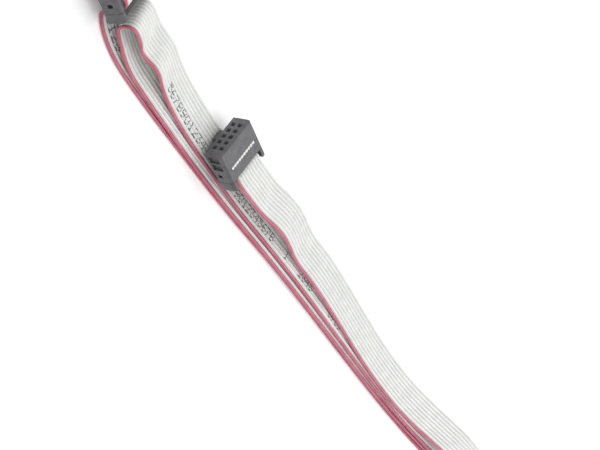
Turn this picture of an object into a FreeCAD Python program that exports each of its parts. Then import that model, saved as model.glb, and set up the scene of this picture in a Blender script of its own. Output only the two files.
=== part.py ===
import FreeCAD, Part
import math
import os

# Ten-way flat ribbon cable with a crimped 2 x 5 socket and strain relief on each end,
# laid on a surface in four stacked runs. Units are millimetres, +Z is up, Z = 0 is the surface.

V = FreeCAD.Vector
DOC = FreeCAD.newDocument("ribbon_cable_assembly")

SIZES = {
    "ways": 10,
    "pin_pitch": 2.54,
    "wire_pitch": 1.27,
    "wire_dia": 0.95,
    "core_dia": 0.38,
    "socket_length": 17.3,
    "socket_thick": 6.0,
    "ribbon_gap": 13.0,
    "slot_x": 7.2,
    "loop_pitch": 4.5,
    "loop_radius": 2.025,
    "loop_z": -3.72,
    "exit_z": 2.25,
    "exit_radius": 1.8,
    "socket_depth": 14.3,
    "ear_gap": 13.6,
    "bar_thick": 1.25,
    "bar_slope": 1.6,
    "seam": 0.12,
    "bevel": 0.8,
    "hole_side": 1.5,
    "hole_lead": 0.6,
    "hole_half": 0.6,
    "key_width": 3.8,
    "key_depth": 5.0,
    "key_height": 1.2,
    "leaf_width": 0.9,
    "leaf_gap": 0.6,
    "leaf_thick": 0.18,
    "blade_width": 1.1,
    "blade_thick": 0.3,
    "blade_slot": 0.4,
    "blade_tip": 8.3,
    "latch_half": 0.8,
    "latch_inner": 6.9,
    "latch_outer": 7.6,
    "latch_z": -0.5,
    "latch_near": 0.9,
    "latch_far": 2.1,
    "tongue_start": 1.0,
    "lip_share": 0.7,
    "hole_depth": 5.0,
    "fork_start": 4.6,
    "blade_start": 5.2,
    "step_end": 5.4,
    "leaf_start": 0.9,
    "leaf_end": 4.8,
    "slot_back": 0.8,
    "notch_start": 0.9,
    "notch_end": 6.2,
    "notch_rib": 0.5,
    "notch_deep": 0.8,
    "notch_half": 1.9,
}

# Where the two sockets lie: centre of the mating face, turn about Z, and lean about the plug axis.
HOME = (-86.67, -16.48)
SOCKET_A = {"at": (0.0, 0.0, 7.8), "yaw": 0.0, "lean": 0.0}
SOCKET_B = {"at": (-71.14, -8.32, 4.72), "yaw": -2.6, "lean": 168.4}

# The ribbon's centre line from the cut end in socket A to the strain relief of socket B:
# x, y, z, the heading of its width and its sideways lean in degrees.
ROUTE = [
    (7.2, 0.0, 10.8, 0, 0), (7.2, 0.0, 4.08, 0, 0), (11.7, 0.0, 4.08, 0, 0), (11.7, 0.0, 10.05, 0, 0),
    (15.2, 0.0, 10.05, 6, 0), (22.0, 1.9, 9.3, 12, 0), (31.0, 4.5, 7.8, 15, 0), (41.0, 7.4, 9.4, 15, 0),
    (52.0, 10.4, 6.9, 13, 0), (62.0, 12.3, 4.0, 11, 2), (75.0, 14.4, 5.3, 10, 4),
    (91.0, 17.2, 4.4, 9, 4), (110.0, 19.6, 3.9, 8, 4), (130.0, 22.0, 3.95, 9, 4),
    (152.0, 25.8, 4.4, 10, 8), (170.0, 30.2, 5.2, 13, 16), (187.0, 34.5, 7.6, 14, 20),
    (200.0, 37.4, 10.3, 14, 12), (211.0, 39.9, 11.0, 14, 3), (220.7, 42.3, 11.0, 14, 0),
    (220.7, 42.3, 2.45, 14, 0), (210.0, 39.6, 2.5, 14, 0), (195.0, 35.4, 2.9, 14, 0),
    (170.0, 28.6, 2.8, 13, 0), (145.0, 23.3, 2.5, 11, 0), (125.0, 19.9, 2.45, 10, 0),
    (100.0, 15.5, 2.55, 9, 0), (75.0, 11.2, 2.5, 10, 0), (50.0, 6.2, 2.55, 11, 0),
    (28.0, 1.3, 2.5, 11, 0), (6.0, -2.3, 2.6, 10, 0), (-9.0, -4.3, 2.5, 8, 0),
    (-20.0, -5.2, 2.55, 7, -2), (-29.0, -6.1, 4.0, 6, -6), (-36.5, -6.9, 6.7, 6, -11),
    (-43.5, -7.9, 5.0, 5, -3), (-48.5, -8.5, 7.3, 4, -12), (-54.2, -9.2, 8.0, 2, -13),
    (-54.5, -9.8, 2.6, 0, -9), (-47.0, -11.2, 2.1, -4, -7), (-39.5, -11.8, 1.6, 0, -2),
    (-30.0, -10.5, 1.45, 6, 0), (-16.0, -8.6, 1.5, 8, 0), (0.0, -6.1, 1.55, 9, 0),
    (22.0, -2.1, 1.5, 11, 0), (46.0, 3.2, 1.52, 11, 0), (70.0, 8.1, 1.47, 10, 0),
    (95.0, 12.9, 1.5, 10, 0), (120.0, 17.5, 1.45, 10, 0), (145.0, 22.2, 1.5, 11, 0),
    (170.0, 27.8, 1.7, 13, 0), (195.0, 34.4, 1.6, 14, 0), (210.0, 38.2, 1.48, 14, 0),
    (222.0, 41.2, 1.45, 14, 0), (234.0, 44.2, 8.2, 14, 0), (243.0, 46.4, 8.4, 14, 0),
    (243.0, 46.4, 0.475, 14, 0), (231.0, 43.4, 0.475, 14, 0), (210.0, 37.8, 0.475, 14, 0),
    (185.0, 30.9, 0.475, 13, 0), (160.0, 25.3, 0.475, 12, 0), (135.0, 20.3, 0.475, 11, 0),
    (110.0, 15.6, 0.475, 10, 0), (85.0, 11.1, 0.475, 10, 0), (60.0, 6.4, 0.475, 11, 0),
    (36.0, 0.8, 0.475, 12, 0), (14.0, -3.8, 0.475, 11, 0), (-4.0, -7.0, 0.475, 10, 0),
    (-18.0, -9.6, 0.475, 8, 0), (-32.0, -11.9, 0.475, 5, 0), (-43.0, -13.4, 0.475, -1, 0),
    (-50.3, -13.1, 0.475, -12, 0), (-55.7, -11.7, 0.6, -12, 1.2), (-59.49, -9.63, 0.92, -2.6, 4.5),
]
# The same inside socket B, in its own axes: x from the mating face, z up.
SOCKET_PATH = [(11.7, -3.72), (7.2, -3.72), (7.2, 3.0)]


def sheet():
    s = DOC.addObject("Spreadsheet::Sheet", "Sizes")
    for row, (alias, value) in enumerate(SIZES.items(), 1):
        s.set(f"A{row}", alias)
        s.set(f"B{row}", str(value))
        s.setAlias(f"B{row}", alias)
    DOC.recompute()


def sized(text):
    """An expression in which each size's word stands for its cell."""
    for alias in sorted(SIZES, key=len, reverse=True):
        text = text.replace(alias, f"Sizes.{alias}")
    return text


def box(name, x, y, z):
    """A block between two expressions on each axis."""
    b = DOC.addObject("Part::Box", name)
    for axis, side, (low, high) in (("x", "Length", x), ("y", "Width", y), ("z", "Height", z)):
        b.setExpression(side, sized(f"({high}) - ({low})"))
        b.setExpression(f"Placement.Base.{axis}", sized(low))
    return b


def rod(name, x, z, radius, half):
    """A round bar along Y."""
    c = DOC.addObject("Part::Cylinder", name)
    c.Placement = FreeCAD.Placement(V(0, 0, 0), FreeCAD.Rotation(V(1, 0, 0), -90))
    c.setExpression("Radius", sized(radius))
    c.setExpression("Height", sized(f"2 * ({half})"))
    for axis, value in (("x", x), ("y", f"-({half})"), ("z", z)):
        c.setExpression(f"Placement.Base.{axis}", sized(value))
    return c


def wedge(name, x, y, z, far_x, far_z):
    """A block between two expressions on each axis, whose X and Z limits change along its Y."""
    w = DOC.addObject("Part::Wedge", name)
    for axis, (low, high) in (("X", x), ("Y", y), ("Z", z), ("X2", far_x), ("Z2", far_z)):
        w.setExpression(f"{axis}min", sized(low))
        w.setExpression(f"{axis}max", sized(high))
    return w


def bevelled(base, chosen):
    """The block with a bevel on each edge whose middle is chosen."""
    DOC.recompute()
    c = DOC.addObject("Part::Chamfer", base.Name + "_bevelled")
    c.Base = base
    c.Edges = [(k, SIZES["bevel"], SIZES["bevel"]) for k, edge in enumerate(base.Shape.Edges, 1)
               if chosen(*edge.CenterOfMass)]
    return c


def outer_edge(x, y, z):
    """True on the four long edges at a socket's ends."""
    return abs(y) > SIZES["socket_length"] / 2 - 0.01 and abs(z) > SIZES["socket_thick"] / 2 - 0.01


def face_edge(x, y, z):
    """True on the edges of a socket's mating face, apart from the one beside the key."""
    return outer_edge(x, y, z) or x < 0.01 and (z > SIZES["socket_thick"] / 2 - 0.01 or
                                                abs(y) > SIZES["socket_length"] / 2 - 0.01)


def fuse(name, shapes):
    f = DOC.addObject("Part::MultiFuse", name)
    f.Shapes = shapes
    f.Refine = True
    return f


def cut(name, base, tools):
    tool = tools[0] if len(tools) == 1 else fuse(name + "_tools", tools)
    c = DOC.addObject("Part::Cut", name)
    c.Base, c.Tool = base, tool
    return c


def contact_places():
    """Wire y, hole y and row z of each contact, in a socket's own axes."""
    for i in range(SIZES["ways"]):
        side = -1 if i % 2 == 0 else 1
        hole = f"({i // 2} - 2) * pin_pitch"
        yield f"{hole} + {side} * wire_pitch / 2", hole, f"{-side} * pin_pitch / 2"


def lead_in(name, hole, row):
    """The square funnel at the mouth of a pin hole."""
    mouth = ("-hole_side / 2", "hole_side / 2")
    w = wedge(name, mouth, ("0", "hole_lead"), mouth,
              ("-leaf_width / 2", "leaf_width / 2"), ("-hole_half", "hole_half"))
    w.Placement = FreeCAD.Placement(V(0, 0, 0), FreeCAD.Rotation(V(0, 0, 1), -90))
    w.setExpression("Placement.Base.y", sized(hole))
    w.setExpression("Placement.Base.z", sized(row))
    return w


def end_notches(tag):
    """Two shallow pockets with a rib between them, in each end of a socket's body."""
    middle, out = "(notch_start + notch_end) / 2", "socket_length / 2"
    spans = [("notch_start", f"{middle} - notch_rib / 2"), (f"{middle} + notch_rib / 2", "notch_end")]
    ends = [(f"-{out}", f"notch_deep - {out}"), (f"{out} - notch_deep", out)]
    return [box(f"body_notch_{tag}{k}{n}", span, y, ("-notch_half", "notch_half"))
            for k, y in enumerate(ends) for n, span in enumerate(spans)]


def socket_body(tag):
    end, thick = "socket_length / 2", "socket_thick / 2"
    face = "slot_x - wire_dia / 2"
    block = box(f"body_block_{tag}", ("0", face), (f"-{end}", end), (f"-{thick}", thick))
    solid = [bevelled(block, face_edge)]
    for k, (low, high) in enumerate(((f"-{end}", "-ribbon_gap / 2"), ("ribbon_gap / 2", end))):
        post = box(f"body_post_{tag}{k}", (face, "slot_x"), (low, high), (f"-{thick}", thick))
        solid.append(bevelled(post, outer_edge))
    solid.append(box(f"body_key_{tag}", ("0", "key_depth"), ("-key_width / 2", "key_width / 2"),
                     (f"-{thick} - key_height", f"-{thick}")))
    tools = end_notches(tag)
    for i, (wire, hole, row) in enumerate(contact_places()):
        tools.append(lead_in(f"body_lead_{tag}{i}", hole, row))
        tools.append(box(f"body_hole_{tag}{i}", ("0", "hole_depth"),
                         (f"{hole} - leaf_width / 2", f"{hole} + leaf_width / 2"),
                         (f"{row} - hole_half", f"{row} + hole_half")))
        low, high = (wire, hole) if i % 2 == 0 else (hole, wire)
        tools.append(box(f"body_fork_{tag}{i}", ("fork_start", face),
                         (f"{low} - blade_width / 2", f"{high} + blade_width / 2"),
                         (f"{row} - blade_thick / 2", f"{row} + blade_thick / 2")))
    return cut(f"socket_body_{tag}", fuse(f"body_solid_{tag}", solid), tools)


def latch(side):
    """The Y and Z limits of the strain relief's tongue in the cover, on one side."""
    y = ("latch_inner", "latch_outer") if side > 0 else ("-latch_outer", "-latch_inner")
    return y, ("latch_z - latch_half", "latch_z + latch_half")


def cover(tag):
    end, thick = "socket_length / 2", "socket_thick / 2"
    near, far = "slot_x + wire_dia / 2", "slot_x + loop_pitch - wire_dia / 2"
    nose, low = "loop_radius - wire_dia / 2", "loop_z + loop_radius"
    solid = [box(f"cover_bar_{tag}", (near, far), ("-ribbon_gap / 2", "ribbon_gap / 2"), (low, thick)),
             rod(f"cover_nose_{tag}0", "slot_x + loop_radius", low, nose, "ribbon_gap / 2"),
             rod(f"cover_nose_{tag}1", "slot_x + loop_pitch - loop_radius", low, nose, "ribbon_gap / 2"),
             box(f"cover_fill_{tag}", ("slot_x + loop_radius", "slot_x + loop_pitch - loop_radius"),
                 ("-ribbon_gap / 2", "ribbon_gap / 2"), (f"{low} - ({nose})", low))]
    tools = []
    for k, side in enumerate((-1, 1)):
        a, b = (f"-{end}", "-ribbon_gap / 2") if side < 0 else ("ribbon_gap / 2", end)
        post = box(f"cover_end_{tag}{k}", ("slot_x", far), (a, b), (f"-{thick}", thick))
        solid.append(bevelled(post, outer_edge))
        tools.append(box(f"cover_guide_{tag}{k}", ("slot_x + latch_near", far), *latch(side)))
        a, b = (f"-{end}", "-latch_outer") if side < 0 else ("latch_outer", end)
        tools.append(box(f"cover_window_{tag}{k}", ("slot_x + latch_near", "slot_x + latch_far"),
                         (a, b), latch(side)[1]))
    for i, (wire, hole, row) in enumerate(contact_places()):
        tools.append(box(f"cover_fork_{tag}{i}", (near, "blade_tip"),
                         (f"{wire} - blade_width / 2", f"{wire} + blade_width / 2"),
                         (f"{row} - blade_thick / 2", f"{row} + blade_thick / 2")))
    return cut(f"cover_{tag}", fuse(f"cover_solid_{tag}", solid), tools)


def bar_lip(tag, near, thick):
    """The sloping edge of the strain relief's bar on its key side."""
    back = f"{near} + bar_thick"
    z = ("-ear_gap / 2", "ear_gap / 2")
    w = wedge(f"bar_lip_{tag}", (near, back), (f"{thick} - bar_slope", thick), z,
              (f"{near} + bar_thick * lip_share", back), z)
    w.Placement = FreeCAD.Placement(V(0, 0, 0), FreeCAD.Rotation(V(1, 0, 0), -90))
    return w


def strain_relief(tag):
    end, thick = "socket_length / 2", "socket_thick / 2"
    near, nose = "slot_x + loop_pitch + wire_dia / 2", "exit_radius - wire_dia / 2"
    pivot_x, pivot_z = "slot_x + loop_pitch + exit_radius", "exit_z - exit_radius"
    span = ("-ear_gap / 2", "ear_gap / 2")
    solid = [box(f"bar_foot_{tag}", (near, "socket_depth"), span, ("-bar_slope / 2", pivot_z)),
             box(f"bar_wall_{tag}", (near, f"{near} + bar_thick"), span,
                 (f"bar_slope - {thick}", "-bar_slope / 2")),
             bar_lip(tag, near, thick),
             box(f"bar_top_{tag}", (pivot_x, "socket_depth"), span, (pivot_z, "exit_z - wire_dia / 2")),
             rod(f"bar_nose_{tag}", pivot_x, pivot_z, nose, "ear_gap / 2")]
    for k, side in enumerate((-1, 1)):
        a, b = (f"-{end}", span[0]) if side < 0 else (span[1], end)
        ear = box(f"bar_ear_{tag}{k}", ("slot_x + loop_pitch - wire_dia / 2 + seam", "socket_depth"),
                  (a, b), (f"-{thick}", thick))
        solid.append(bevelled(ear, outer_edge))
        solid.append(box(f"bar_tongue_{tag}{k}", ("slot_x + tongue_start", "slot_x + loop_pitch"),
                         *latch(side)))
    return fuse(f"strain_relief_{tag}", solid)


def contact(tag, i, wire, hole, row):
    """A fork that straddles the conductor, and two spring leaves that take a square pin."""
    t = f"{tag}{i}"
    low, high = (wire, hole) if i % 2 == 0 else (hole, wire)
    leaf = ("leaf_start", "leaf_end")
    y = (f"{hole} - leaf_width / 2", f"{hole} + leaf_width / 2")
    blade_z = (f"{row} - blade_thick / 2", f"{row} + blade_thick / 2")
    solid = [box(f"contact_blade_{t}", ("blade_start", "blade_tip"),
                 (f"{wire} - blade_width / 2", f"{wire} + blade_width / 2"), blade_z),
             box(f"contact_step_{t}", ("fork_start", "step_end"),
                 (f"{low} - leaf_width / 2", f"{high} + leaf_width / 2"), blade_z),
             box(f"contact_back_{t}", ("fork_start", "leaf_end"), y,
                 (f"{row} - leaf_gap / 2 - leaf_thick", f"{row} + leaf_gap / 2 + leaf_thick")),
             box(f"contact_leaf_{t}0", leaf, y,
                 (f"{row} + leaf_gap / 2", f"{row} + leaf_gap / 2 + leaf_thick")),
             box(f"contact_leaf_{t}1", leaf, y,
                 (f"{row} - leaf_gap / 2 - leaf_thick", f"{row} - leaf_gap / 2"))]
    slot = box(f"contact_slot_{t}", ("slot_x - slot_back", "blade_tip"),
               (f"{wire} - blade_slot / 2", f"{wire} + blade_slot / 2"), blade_z)
    return cut(f"contact_{tag}_{i + 1:02d}", fuse(f"contact_solid_{t}", solid), [slot])


def pose(socket):
    yaw = FreeCAD.Rotation(V(0, 0, 1), socket["yaw"])
    turn = yaw.multiply(FreeCAD.Rotation(V(1, 0, 0), socket["lean"]))
    x, y, z = socket["at"]
    return FreeCAD.Placement(V(HOME[0] + x, HOME[1] + y, z), turn)


def add_socket(tag, socket):
    """Body, cover, strain relief and ten contacts, all set down in the same pose."""
    parts = [socket_body(tag), cover(tag), strain_relief(tag)]
    parts += [contact(tag, i, *place) for i, place in enumerate(contact_places())]
    DOC.recompute()
    for part in parts:
        part.Placement = pose(socket)
        part.Label = part.Name
    return parts


def wire_points(i):
    """The bend points of wire i: the ribbon's centre line moved sideways along its width."""
    side = (i - (SIZES["ways"] - 1) / 2) * SIZES["wire_pitch"]
    points = []
    for x, y, z, heading, lean in ROUTE:
        turn = FreeCAD.Rotation(V(0, 0, 1), heading).multiply(FreeCAD.Rotation(V(1, 0, 0), lean))
        points.append(V(HOME[0] + x, HOME[1] + y, z) + turn.multVec(V(0, side, 0)))
    last = pose(SOCKET_B)
    return points + [last.multVec(V(x, -side, z)) for x, z in SOCKET_PATH]


def rounded(points):
    """Straight runs joined by tangent arcs, as one wire, with the arc radii."""
    edges, radii, start = [], [], points[0]
    for before, corner, after in zip(points, points[1:], points[2:]):
        into, out = corner - before, after - corner
        reach = 0.45 * min(into.Length, out.Length)
        into.normalize()
        out.normalize()
        half = into.getAngle(out) / 2
        a, b = corner - into * reach, corner + out * reach
        radius = reach / math.tan(half)
        middle = (out - into).normalize() * (radius / math.cos(half) - radius) + corner
        edges += [Part.LineSegment(start, a).toShape(), Part.Arc(a, middle, b).toShape()]
        radii.append(radius)
        start = b
    edges.append(Part.LineSegment(start, points[-1]).toShape())
    return Part.Wire(edges), radii


def swept(name, path, points, size):
    """A round bar of the named diameter along a path."""
    ring = DOC.addObject("Part::Circle", name + "_ring")
    ring.setExpression("Radius", f"Sizes.{size} / 2")
    ring.Placement = FreeCAD.Placement(points[0], FreeCAD.Rotation(V(0, 0, 1), points[1] - points[0]))
    bar = DOC.addObject("Part::Sweep", name)
    bar.Sections = [ring]
    bar.Spine = (path, [])
    bar.Solid, bar.Frenet = True, False
    return bar


def add_wire(i, forks):
    """One insulated wire and its copper core, with the fork contacts let into the insulation."""
    number, points = f"{i + 1:02d}", wire_points(i)
    line, radii = rounded(points)
    path = DOC.addObject("Part::Feature", f"path_{number}")
    path.Shape = line
    core = swept(f"core_{number}", path, points, "core_dia")
    full = swept(f"jacket_{number}", path, points, "wire_dia")
    wire = cut(f"wire_{number}", full, [core] + forks)
    DOC.recompute()
    ideal = math.pi * (SIZES["wire_dia"] / 2) ** 2 * line.Length
    print(f"wire {number}: length {line.Length:.1f}, tightest bend {min(radii):.2f}, "
          f"volume {full.Shape.Volume:.1f} of {ideal:.1f}")
    for part in (core, wire):
        part.Label = part.Name
    return [wire, core]


def export(parts):
    os.makedirs("parts", exist_ok=True)
    for o in DOC.Objects:
        bad = [s for s in o.State if s in ("Invalid", "Error")]
        if bad:
            raise RuntimeError(f"{o.Name}: {bad}")
    total = FreeCAD.BoundBox()
    for part in parts:
        shape = part.Shape
        if shape.isNull() or not shape.isValid() or len(shape.Solids) != 1:
            raise RuntimeError(f"{part.Label}: {len(shape.Solids)} solids, valid {shape.isValid()}")
        total.add(shape.BoundBox)
        shape.exportStep(f"parts/{part.Label}.step")
    print(f"{len(parts)} nodes, box {total}")


sheet()
sockets = {"a": add_socket("a", SOCKET_A), "b": add_socket("b", SOCKET_B)}
nodes = sockets["a"] + sockets["b"]
for way in range(SIZES["ways"]):
    far = SIZES["ways"] - 1 - way
    nodes += add_wire(way, [sockets["a"][3 + way], sockets["b"][3 + far]])
DOC.recompute()
export(nodes)
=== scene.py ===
import bisect
import math

import bmesh
import bpy
from mathutils import Matrix, Vector


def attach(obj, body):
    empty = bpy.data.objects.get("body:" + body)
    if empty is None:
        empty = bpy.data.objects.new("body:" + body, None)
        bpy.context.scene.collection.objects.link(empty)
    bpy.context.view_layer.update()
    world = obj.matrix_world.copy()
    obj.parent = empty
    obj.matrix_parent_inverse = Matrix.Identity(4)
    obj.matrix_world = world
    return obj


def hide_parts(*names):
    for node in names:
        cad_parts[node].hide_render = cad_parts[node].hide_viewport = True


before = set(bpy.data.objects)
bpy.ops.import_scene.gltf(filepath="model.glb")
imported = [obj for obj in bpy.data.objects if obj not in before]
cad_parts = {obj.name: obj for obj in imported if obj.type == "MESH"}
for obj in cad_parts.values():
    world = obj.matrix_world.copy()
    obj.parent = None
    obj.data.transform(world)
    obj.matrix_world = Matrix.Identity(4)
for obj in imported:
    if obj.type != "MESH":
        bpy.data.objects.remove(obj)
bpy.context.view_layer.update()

WAYS = 10
PITCH = 0.00127
WIRE_DIA = 0.00095
CORE_DIA = 0.00038
LOBE = WIRE_DIA / 2

# Places are measured from HOME, the point of the floor under the centre of socket A's mating face.
HOME = Vector((-0.08667, -0.01648, 0))
# Socket B: centre of its mating face, turn about Z and lean about its plug axis in degrees.
SOCKET_B = {"at": Vector((-0.07114, -0.00832, 0.00472)), "yaw": -2.6, "lean": 168.4}

# The control points of the ribbon's centre line, from the cut end in socket A to socket B: x, y, z
# in metres, then the heading of its width and its sideways lean in degrees.
ROUTE = [
    (0.0072, 0.0, 0.0108, 0, 0), (0.0072, 0.0, 0.00408, 0, 0), (0.0117, 0.0, 0.00408, 0, 0),
    (0.0117, 0.0, 0.01005, 0, 0), (0.0152, 0.0, 0.01005, 6, 0), (0.022, 0.0019, 0.0093, 12, 0),
    (0.031, 0.0045, 0.0078, 15, 0), (0.041, 0.0074, 0.0094, 15, 0), (0.052, 0.0104, 0.0069, 13, 0),
    (0.062, 0.0123, 0.004, 11, 2), (0.075, 0.0144, 0.0053, 10, 4), (0.091, 0.0172, 0.0044, 9, 4),
    (0.11, 0.0196, 0.0039, 8, 4), (0.13, 0.022, 0.00395, 9, 4), (0.152, 0.0258, 0.0044, 10, 8),
    (0.17, 0.0302, 0.0052, 13, 16), (0.187, 0.0345, 0.0076, 14, 20), (0.2, 0.0374, 0.0103, 14, 12),
    (0.211, 0.0399, 0.011, 14, 3), (0.2207, 0.0423, 0.011, 14, 0), (0.2207, 0.0423, 0.00245, 14, 0),
    (0.21, 0.0396, 0.0025, 14, 0), (0.195, 0.0354, 0.0029, 14, 0), (0.17, 0.0286, 0.0028, 13, 0),
    (0.145, 0.0233, 0.0025, 11, 0), (0.125, 0.0199, 0.00245, 10, 0), (0.1, 0.0155, 0.00255, 9, 0),
    (0.075, 0.0112, 0.0025, 10, 0), (0.05, 0.0062, 0.00255, 11, 0), (0.028, 0.0013, 0.0025, 11, 0),
    (0.006, -0.0023, 0.0026, 10, 0), (-0.009, -0.0043, 0.0025, 8, 0),
    (-0.02, -0.0052, 0.00255, 7, -2), (-0.029, -0.0061, 0.004, 6, -6),
    (-0.0365, -0.0069, 0.0067, 6, -11), (-0.0435, -0.0079, 0.005, 5, -3),
    (-0.0485, -0.0085, 0.0073, 4, -12), (-0.0542, -0.0092, 0.008, 2, -13),
    (-0.0545, -0.0098, 0.0026, 0, -9), (-0.047, -0.0112, 0.0021, -4, -7),
    (-0.0395, -0.0118, 0.0016, 0, -2), (-0.03, -0.0105, 0.00145, 6, 0),
    (-0.016, -0.0086, 0.0015, 8, 0), (0.0, -0.0061, 0.00155, 9, 0), (0.022, -0.0021, 0.0015, 11, 0),
    (0.046, 0.0032, 0.00152, 11, 0), (0.07, 0.0081, 0.00147, 10, 0), (0.095, 0.0129, 0.0015, 10, 0),
    (0.12, 0.0175, 0.00145, 10, 0), (0.145, 0.0222, 0.0015, 11, 0), (0.17, 0.0278, 0.0017, 13, 0),
    (0.195, 0.0344, 0.0016, 14, 0), (0.21, 0.0382, 0.00148, 14, 0), (0.222, 0.0412, 0.00145, 14, 0),
    (0.234, 0.0442, 0.0082, 14, 0), (0.243, 0.0464, 0.0084, 14, 0),
    (0.243, 0.0464, 0.000475, 14, 0), (0.231, 0.0434, 0.000475, 14, 0),
    (0.21, 0.0378, 0.000475, 14, 0), (0.185, 0.0309, 0.000475, 13, 0),
    (0.16, 0.0253, 0.000475, 12, 0), (0.135, 0.0203, 0.000475, 11, 0),
    (0.11, 0.0156, 0.000475, 10, 0), (0.085, 0.0111, 0.000475, 10, 0),
    (0.06, 0.0064, 0.000475, 11, 0), (0.036, 0.0008, 0.000475, 12, 0),
    (0.014, -0.0038, 0.000475, 11, 0), (-0.004, -0.007, 0.000475, 10, 0),
    (-0.018, -0.0096, 0.000475, 8, 0), (-0.032, -0.0119, 0.000475, 5, 0),
    (-0.043, -0.0134, 0.000475, -1, 0), (-0.0503, -0.0131, 0.000475, -12, 0),
    (-0.0557, -0.0117, 0.0006, -12, 1.2), (-0.05949, -0.00963, 0.00092, -2.6, 4.5),
]
# The same inside socket B, in its own axes: x from the mating face, z up.
SOCKET_PATH = [(0.0117, -0.00372), (0.0072, -0.00372), (0.0072, 0.003)]


# ---------------------------------------------------------------- helpers

def turn(yaw, lean):
    return Matrix.Rotation(math.radians(yaw), 3, "Z") @ Matrix.Rotation(math.radians(lean), 3, "X")


def pose(socket):
    return Matrix.Translation(HOME + socket["at"]) @ turn(socket["yaw"], socket["lean"]).to_4x4()


def link(name, mesh, *materials):
    obj = bpy.data.objects.new(name, mesh)
    bpy.context.scene.collection.objects.link(obj)
    for m in materials:
        obj.data.materials.append(m)
    return obj


def smooth(mesh):
    mesh.polygons.foreach_set("use_smooth", [True] * len(mesh.polygons))


# ---------------------------------------------------------------- materials

class Nodes:
    """A node material, with short calls for the few node kinds used here."""

    def __init__(self, name):
        self.material = bpy.data.materials.new(name)
        self.material.use_nodes = True
        self.tree = self.material.node_tree
        self.shader = self.tree.nodes["Principled BSDF"]

    def add(self, kind, **settings):
        node = self.tree.nodes.new(kind)
        for key, value in settings.items():
            if key in node.inputs.keys():
                node.inputs[key].default_value = value
            else:
                setattr(node, key, value)
        return node

    def link(self, a, b):
        self.tree.links.new(a, b)

    def coords(self, scale):
        where = self.add("ShaderNodeTexCoord")
        size = self.add("ShaderNodeMapping")
        even = isinstance(scale, (int, float))
        size.inputs["Scale"].default_value = (scale, scale, scale) if even else scale
        self.link(where.outputs["Object"], size.inputs["Vector"])
        return size.outputs["Vector"]

    def noise(self, scale, detail=3.0, roughness=0.5):
        n = self.add("ShaderNodeTexNoise")
        n.inputs["Scale"].default_value = 1.0
        n.inputs["Detail"].default_value = detail
        n.inputs["Roughness"].default_value = roughness
        self.link(self.coords(scale), n.inputs["Vector"])
        return n.outputs["Fac"]

    def ramp(self, fac, *stops):
        r = self.add("ShaderNodeValToRGB")
        while len(r.color_ramp.elements) < len(stops):
            r.color_ramp.elements.new(0.5)
        for element, (at, colour) in zip(r.color_ramp.elements, stops):
            element.position, element.color = at, (*colour, 1.0)
        self.link(fac, r.inputs["Fac"])
        return r.outputs["Color"]

    def bump(self, height, strength, distance, edge=0.0):
        b = self.add("ShaderNodeBump")
        b.inputs["Strength"].default_value = strength
        b.inputs["Distance"].default_value = distance
        self.link(height, b.inputs["Height"])
        if edge:
            soft = self.add("ShaderNodeBevel", samples=6)
            soft.inputs["Radius"].default_value = edge
            self.link(soft.outputs["Normal"], b.inputs["Normal"])
        self.link(b.outputs["Normal"], self.shader.inputs["Normal"])

    def set(self, **values):
        for key, value in values.items():
            self.shader.inputs[key.replace("_", " ")].default_value = value


def vinyl(name, low, high, rough):
    """Soft extruded vinyl: faint cloudiness along its length and a fine drawn surface."""
    n = Nodes(name)
    cloud = n.noise(220.0, 4.0, 0.6)
    n.link(n.ramp(cloud, (0.3, low), (0.7, high)), n.shader.inputs["Base Color"])
    fine = n.noise(2600.0, 3.0, 0.55)
    grey = n.ramp(fine, (0.25, (rough - 0.06,) * 3), (0.75, (rough + 0.08,) * 3))
    n.link(grey, n.shader.inputs["Roughness"])
    n.bump(fine, 0.15, 0.00004)
    n.set(Subsurface_Weight=0.25, Subsurface_Radius=(0.6, 0.55, 0.5), Subsurface_Scale=0.0008,
          IOR=1.52)
    return n.material


def moulded(name, low, high, rough):
    """Glass-filled moulded plastic: fine spark-eroded grain and slightly worn, lighter patches."""
    n = Nodes(name)
    cloud = n.noise(380.0, 5.0, 0.6)
    n.link(n.ramp(cloud, (0.32, low), (0.72, high)), n.shader.inputs["Base Color"])
    grain = n.noise(9000.0, 2.0, 0.5)
    grey = n.ramp(grain, (0.2, (rough - 0.08,) * 3), (0.8, (rough + 0.1,) * 3))
    n.link(grey, n.shader.inputs["Roughness"])
    n.bump(grain, 0.35, 0.00003, edge=0.00018)
    n.set(IOR=1.5)
    return n.material


def metal(name, low, high, rough):
    n = Nodes(name)
    drawn = n.noise((600.0, 5000.0, 5000.0), 3.0, 0.6)
    n.link(n.ramp(drawn, (0.25, low), (0.75, high)), n.shader.inputs["Base Color"])
    grey = n.ramp(drawn, (0.2, (rough - 0.08,) * 3), (0.8, (rough + 0.1,) * 3))
    n.link(grey, n.shader.inputs["Roughness"])
    n.bump(drawn, 0.2, 0.00002)
    n.set(Metallic=1.0)
    return n.material


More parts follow.
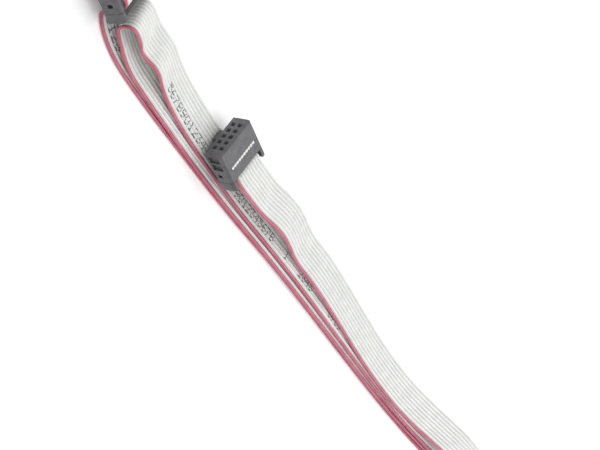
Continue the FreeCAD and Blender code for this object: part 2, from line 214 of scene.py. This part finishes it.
GREY_VINYL = vinyl("grey_vinyl", (0.78, 0.78, 0.76), (0.87, 0.87, 0.85), 0.42)
RED_VINYL = vinyl("red_vinyl", (0.50, 0.115, 0.178), (0.60, 0.180, 0.248), 0.36)
# Darker copies of the grey and red vinyl for the web between wires: painted shade in the grooves.
GROOVE_PAINTED_SHADE = vinyl("groove_painted_shade", (0.60, 0.61, 0.59), (0.69, 0.70, 0.68), 0.5)
RED_GROOVE_PAINTED_SHADE = vinyl("red_groove_painted_shade", (0.30, 0.035, 0.070), (0.37, 0.055, 0.095), 0.5)
CUT_VINYL = vinyl("cut_vinyl", (0.74, 0.74, 0.72), (0.82, 0.82, 0.80), 0.6)
INK = vinyl("ink", (0.07, 0.08, 0.08), (0.17, 0.18, 0.18), 0.55)
HOUSING = moulded("grey_moulding", (0.092, 0.092, 0.098), (0.150, 0.150, 0.157), 0.52)
PLATED = metal("plated_contact", (0.62, 0.50, 0.26), (0.80, 0.68, 0.40), 0.28)
TINNED = metal("tinned_strand", (0.62, 0.61, 0.58), (0.80, 0.79, 0.76), 0.35)


# ---------------------------------------------------------------- the ribbon

def wire_points(i):
    """The route's points moved sideways along the ribbon's width to wire i."""
    side = (i - (WAYS - 1) / 2) * PITCH
    points = [HOME + Vector((x, y, z)) + turn(heading, lean) @ Vector((0, side, 0))
              for x, y, z, heading, lean in ROUTE]
    last = pose(SOCKET_B)
    return points + [last @ Vector((x, -side, z)) for x, z in SOCKET_PATH]


LINE_STEPS = 14
LINE_ORDER = 3


def nurbs_line(points):
    """Points along the smooth NURBS spline that has these control points."""
    curve = bpy.data.curves.new("line", "CURVE")
    curve.dimensions, curve.resolution_u = "3D", LINE_STEPS
    spline = curve.splines.new("NURBS")
    spline.points.add(len(points) - 1)
    for slot, p in zip(spline.points, points):
        slot.co = (*p, 1)
    spline.order_u = LINE_ORDER
    spline.use_endpoint_u = True
    holder = bpy.data.objects.new("line", curve)
    mesh = bpy.data.meshes.new_from_object(holder)
    line = [v.co.copy() for v in mesh.vertices]
    bpy.data.objects.remove(holder)
    bpy.data.curves.remove(curve)
    bpy.data.meshes.remove(mesh)
    return line


LINES = [nurbs_line(wire_points(i)) for i in range(WAYS)]
# Half thickness of the web between wires, the share of a lobe's half width that stays round, how much
# the crimp widens the lobes at the cut ends, and where the painted shade of the grooves on the web
# starts.
WEB = 0.00016
LOBE_SHARE = 0.94
CUT_SPREAD = 1.3
WEB_START = 0.74
# Where a wire's outline has its points, from the middle of one web (-1) to the middle of the next (1).
ACROSS = [-1.0, -0.84, -WEB_START, -0.69, -0.6, -0.47, -0.32, -0.16, 0.0,
          0.16, 0.32, 0.47, 0.6, 0.69, WEB_START, 0.84, 1.0]


def lobe_height(y, spread=1.0):
    """Half thickness of the ribbon at y across one wire, y from -1 to 1 between the web's middles."""
    across = abs(y) * PITCH / 2 / spread
    if across < LOBE * LOBE_SHARE:
        return max(math.sqrt(LOBE ** 2 - across ** 2), WEB)
    return WEB


def ring_at(k, i, across):
    """Wire i's outline at point k of its line: the upper side, then the lower one back."""
    line = LINES[i]
    p = line[k]
    last = len(line) - 1
    ahead = (line[min(k + 1, last)] - line[max(k - 1, 0)]).normalized()
    right = (LINES[i + 1][k] - p) / 2 if i < WAYS - 1 else (p - LINES[i - 1][k]) / 2
    left = (p - LINES[i - 1][k]) / 2 if i > 0 else right
    up = ahead.cross(right + left).normalized()
    spread = CUT_SPREAD if k in (0, last) else 1.0
    beside = [p + (right if a > 0 else left) * a for a in across]
    lift = [up * lobe_height(a, spread) for a in across]
    return [b + h for b, h in zip(beside, lift)] + [b - h for b, h in zip(beside, lift)][::-1]


def outward(mesh):
    """Turn every face of a closed mesh outwards."""
    bm = bmesh.new()
    bm.from_mesh(mesh)
    bmesh.ops.recalc_face_normals(bm, faces=bm.faces)
    bm.to_mesh(mesh)
    bm.free()


# The order of a wire's materials; the web's slot holds a darker copy of the vinyl, painted shade in
# the grooves.
BODY_SLOT, CUT_SLOT, WEB_SHADE_SLOT = 0, 1, 2


def wire_mesh(i):
    """A lobed strip along wire i that reaches half way to its neighbours, closed at both ends."""
    across = [a for a in ACROSS
              if (i > 0 or a >= -WEB_START) and (i < WAYS - 1 or a <= WEB_START)]
    count, n = len(LINES[i]), 2 * len(across)
    verts = [v for k in range(count) for v in ring_at(k, i, across)]
    faces = [(k * n + j, k * n + (j + 1) % n, (k + 1) * n + (j + 1) % n, (k + 1) * n + j)
             for k in range(count - 1) for j in range(n)]
    faces += [tuple(reversed(range(n))), tuple(range((count - 1) * n, count * n))]
    mesh = bpy.data.meshes.new(f"ribbon_wire_{i + 1:02d}")
    mesh.from_pydata(verts, [], faces)
    smooth(mesh)
    around = across + across[::-1]
    # Faces on the web between wires, which get the darker copy of the vinyl as painted groove shade.
    web = [j not in (len(across) - 1, n - 1)
           and min(abs(around[j]), abs(around[(j + 1) % n])) >= WEB_START for j in range(n)]
    for face in mesh.polygons:
        face.material_index = WEB_SHADE_SLOT if web[face.index % n] else BODY_SLOT
    for cut_face in (mesh.polygons[-1], mesh.polygons[-2]):
        cut_face.use_smooth = False
        cut_face.material_index = CUT_SLOT
    mesh.validate()
    outward(mesh)
    return mesh


# Six strands stand round a seventh, and just fill the conductor. Their ends are thin, slightly tapered
# discs that stand a little proud of the cut vinyl.
STRANDS_ROUND = 6
STRAND = CORE_DIA / 6
STRAND_TAPER = 0.8
STRAND_DEPTH = 0.00006
STRAND_PROUD = 0.00001


def core_ends():
    """The seven strands of each conductor that show in the cut faces of the ribbon."""
    bm = bmesh.new()
    for line in LINES:
        for end, inner in ((line[0], line[1]), (line[-1], line[-2])):
            out = (end - inner).normalized()
            face = (Matrix.Translation(end + out * STRAND_PROUD)
                    @ out.to_track_quat("Z", "Y").to_matrix().to_4x4())
            for n in range(STRANDS_ROUND + 1):
                reach = 2 * STRAND if n else 0.0
                angle = math.radians(360 / STRANDS_ROUND * n)
                place = Matrix.Translation((reach * math.cos(angle), reach * math.sin(angle), 0))
                bmesh.ops.create_cone(bm, cap_ends=True, segments=12, radius1=STRAND,
                                      radius2=STRAND * STRAND_TAPER, depth=STRAND_DEPTH,
                                      matrix=face @ place)
    mesh = bpy.data.meshes.new("core_ends")
    bm.to_mesh(mesh)
    bm.free()
    return mesh


# Plain counting digits are printed along one side: the rows of five dots of the digits 0 to 9, then
# how far along the ribbon each group of digits starts.
DIGITS = (
    (14, 17, 17, 17, 17, 17, 14), (4, 12, 4, 4, 4, 4, 14), (14, 17, 1, 2, 4, 8, 31),
    (31, 2, 4, 2, 1, 17, 14), (2, 6, 10, 18, 31, 2, 2), (31, 16, 30, 1, 1, 17, 14),
    (6, 8, 16, 30, 17, 17, 14), (31, 1, 2, 4, 8, 8, 8), (14, 17, 17, 14, 17, 17, 14),
    (14, 17, 17, 15, 1, 2, 12),
)
MARKS = [(0.4865, "5678901234"), (0.4520, "5678"), (0.4370, "9012345678"), (0.4005, "1"),
         (0.3890, "2345"), (0.3635, "6789"), (1.1325, "0123")]
# Where a digit's foot stands, counted in wires, and the step from digit to digit.
MARK_FOOT = 1.6
MARK_STEP = 0.0028
# Dots: columns and rows of a digit, the step between columns, the row step as a share of it, half a
# dot's side, and how far its pad stands over the vinyl and reaches into it.
DOT_COLUMNS, DOT_ROWS = 5, 7
DOT_COLUMN = 0.00046
DOT_ROW_SHARE = 0.87
DOT_HALF = DOT_COLUMN * 0.40
INK_TOP = 0.000015
INK_ROOT = -0.00002
# A pad's outline as steps along and across the ribbon, and its faces, with the upper outline first.
DOT_OUTLINE = ((-1, -1), (-1, 0), (-1, 1), (1, 1), (1, 0), (1, -1))
DOT_FACES = [(0, 1, 4, 5), (1, 2, 3, 4), (11, 10, 7, 6), (10, 9, 8, 7)]
DOT_FACES += [(k, (k + 1) % 6, (k + 1) % 6 + 6, k + 6) for k in range(6)]
# The ribbon's middle line, and how far along it each of its points is.
MIDDLE = [(a + b) / 2 for a, b in zip(LINES[WAYS // 2 - 1], LINES[WAYS // 2])]
REACH = [0.0]
for a, b in zip(MIDDLE, MIDDLE[1:]):
    REACH.append(REACH[-1] + (b - a).length)


def printed_side(distance, across, above):
    """A point above the printed side, at a distance along the ribbon and a place across its wires."""
    k = bisect.bisect_right(REACH, distance) - 1
    t = (distance - REACH[k]) / (REACH[k + 1] - REACH[k])
    j = int(across)
    here = LINES[j][k].lerp(LINES[j][k + 1], t)
    beside = LINES[j + 1][k].lerp(LINES[j + 1][k + 1], t)
    down = (LINES[j][k + 1] - LINES[j][k]).cross(beside - here).normalized()
    lift = lobe_height((across - round(across)) * 2) + above
    return here.lerp(beside, across - j) - down * lift


def dot_pad(along, across):
    """The corners of one dot, on the printed side and a little way into it."""
    return [printed_side(along - step * DOT_HALF, across + side * DOT_HALF / PITCH, above)
            for above in (INK_TOP, INK_ROOT) for step, side in DOT_OUTLINE]


def print_marks():
    """Dot-matrix digits printed across wires two to four, each dot a thin pad of ink."""
    verts, faces = [], []
    for start, text in MARKS:
        for n, digit in enumerate(text):
            for row, bits in enumerate(DIGITS[int(digit)]):
                for column in range(DOT_COLUMNS):
                    if bits >> (DOT_COLUMNS - 1 - column) & 1:
                        faces += [tuple(len(verts) + k for k in face) for face in DOT_FACES]
                        height = (DOT_ROWS - 1 - row) * DOT_COLUMN * DOT_ROW_SHARE
                        verts += dot_pad(start - n * MARK_STEP - column * DOT_COLUMN,
                                         MARK_FOOT + height / PITCH)
    mesh = bpy.data.meshes.new("print_marks")
    mesh.from_pydata(verts, [], faces)
    outward(mesh)
    return mesh


for i in range(WAYS):
    marked = i == 0
    # Each wire's third material is the painted shade in its grooves.
    wire = link(f"ribbon_wire_{i + 1:02d}", wire_mesh(i), RED_VINYL if marked else GREY_VINYL,
                CUT_VINYL, RED_GROOVE_PAINTED_SHADE if marked else GROOVE_PAINTED_SHADE)
    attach(wire, "root")
    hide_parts(f"wire_{i + 1:02d}")

marks = link("print_marks", print_marks(), INK)
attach(marks, "root")

ends = link("core_ends", core_ends(), TINNED)
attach(ends, "root")
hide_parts(*[f"core_{i + 1:02d}" for i in range(WAYS)])

# ---------------------------------------------------------------- sockets

for name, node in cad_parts.items():
    if name.startswith(("socket_body", "cover", "strain_relief")):
        finish = HOUSING
    elif name.startswith("contact"):
        finish = PLATED
    else:
        continue
    node.data.materials.clear()
    node.data.materials.append(finish)

# ---------------------------------------------------------------- floor, light and camera

FLOOR_HALF = 3
floor = link("floor", bpy.data.meshes.new("floor"))
floor.data.from_pydata([(-FLOOR_HALF, -FLOOR_HALF, 0), (FLOOR_HALF, -FLOOR_HALF, 0),
                        (FLOOR_HALF, FLOOR_HALF, 0), (-FLOOR_HALF, FLOOR_HALF, 0)], [], [(0, 1, 2, 3)])
paper = Nodes("paper")
paper.set(Roughness=0.9, Specular_IOR_Level=0.1, Emission_Color=(1, 1, 1, 1),
          Emission_Strength=0.12)
shade = paper.ramp(paper.noise(40.0), (0.0, (0.955,) * 3), (1.0, (0.985,) * 3))
paper.link(shade, paper.shader.inputs["Base Color"])
floor.data.materials.append(paper.material)


def area_light(name, at, size, power):
    """A round soft light that faces the middle of the floor."""
    lamp = bpy.data.lights.new(name, "AREA")
    lamp.shape, lamp.size, lamp.energy = "DISK", size, power
    obj = bpy.data.objects.new(name, lamp)
    obj.location = at
    obj.rotation_euler = (-Vector(at)).to_track_quat("-Z", "Y").to_euler()
    bpy.context.scene.collection.objects.link(obj)


STUDIO_STRENGTH = 0.51
area_light("key", at=(0.35, 0.28, 0.75), size=1.1, power=5.1)
area_light("fill", at=(-0.2, -0.1, 0.9), size=1.4, power=2.4)
world = bpy.data.worlds.new("studio")
world.use_nodes = True
world.node_tree.nodes["Background"].inputs["Color"].default_value = (1, 1, 1, 1)
world.node_tree.nodes["Background"].inputs["Strength"].default_value = STUDIO_STRENGTH
bpy.context.scene.world = world
bpy.context.scene.view_settings.view_transform = "Standard"

# The camera as fitted to the photograph: its place, and its right, up and back directions.
camera = bpy.data.objects.new("camera", bpy.data.cameras.new("camera"))
bpy.context.scene.collection.objects.link(camera)
CAMERA_AT = HOME + Vector((-0.283323, -0.245054, 0.301227))
CAMERA_AXES = Matrix(((0.312189, 0.510377, 0.801283), (-0.69316, 0.699151, -0.175261),
                      (-0.649667, -0.500702, 0.57204)))
camera.matrix_world = Matrix.Translation(CAMERA_AT) @ CAMERA_AXES.transposed().to_4x4()
camera.data.lens, camera.data.sensor_width = 95.8, 36.0
camera.data.clip_start, camera.data.clip_end = 0.01, 10.0
bpy.context.scene.camera = camera
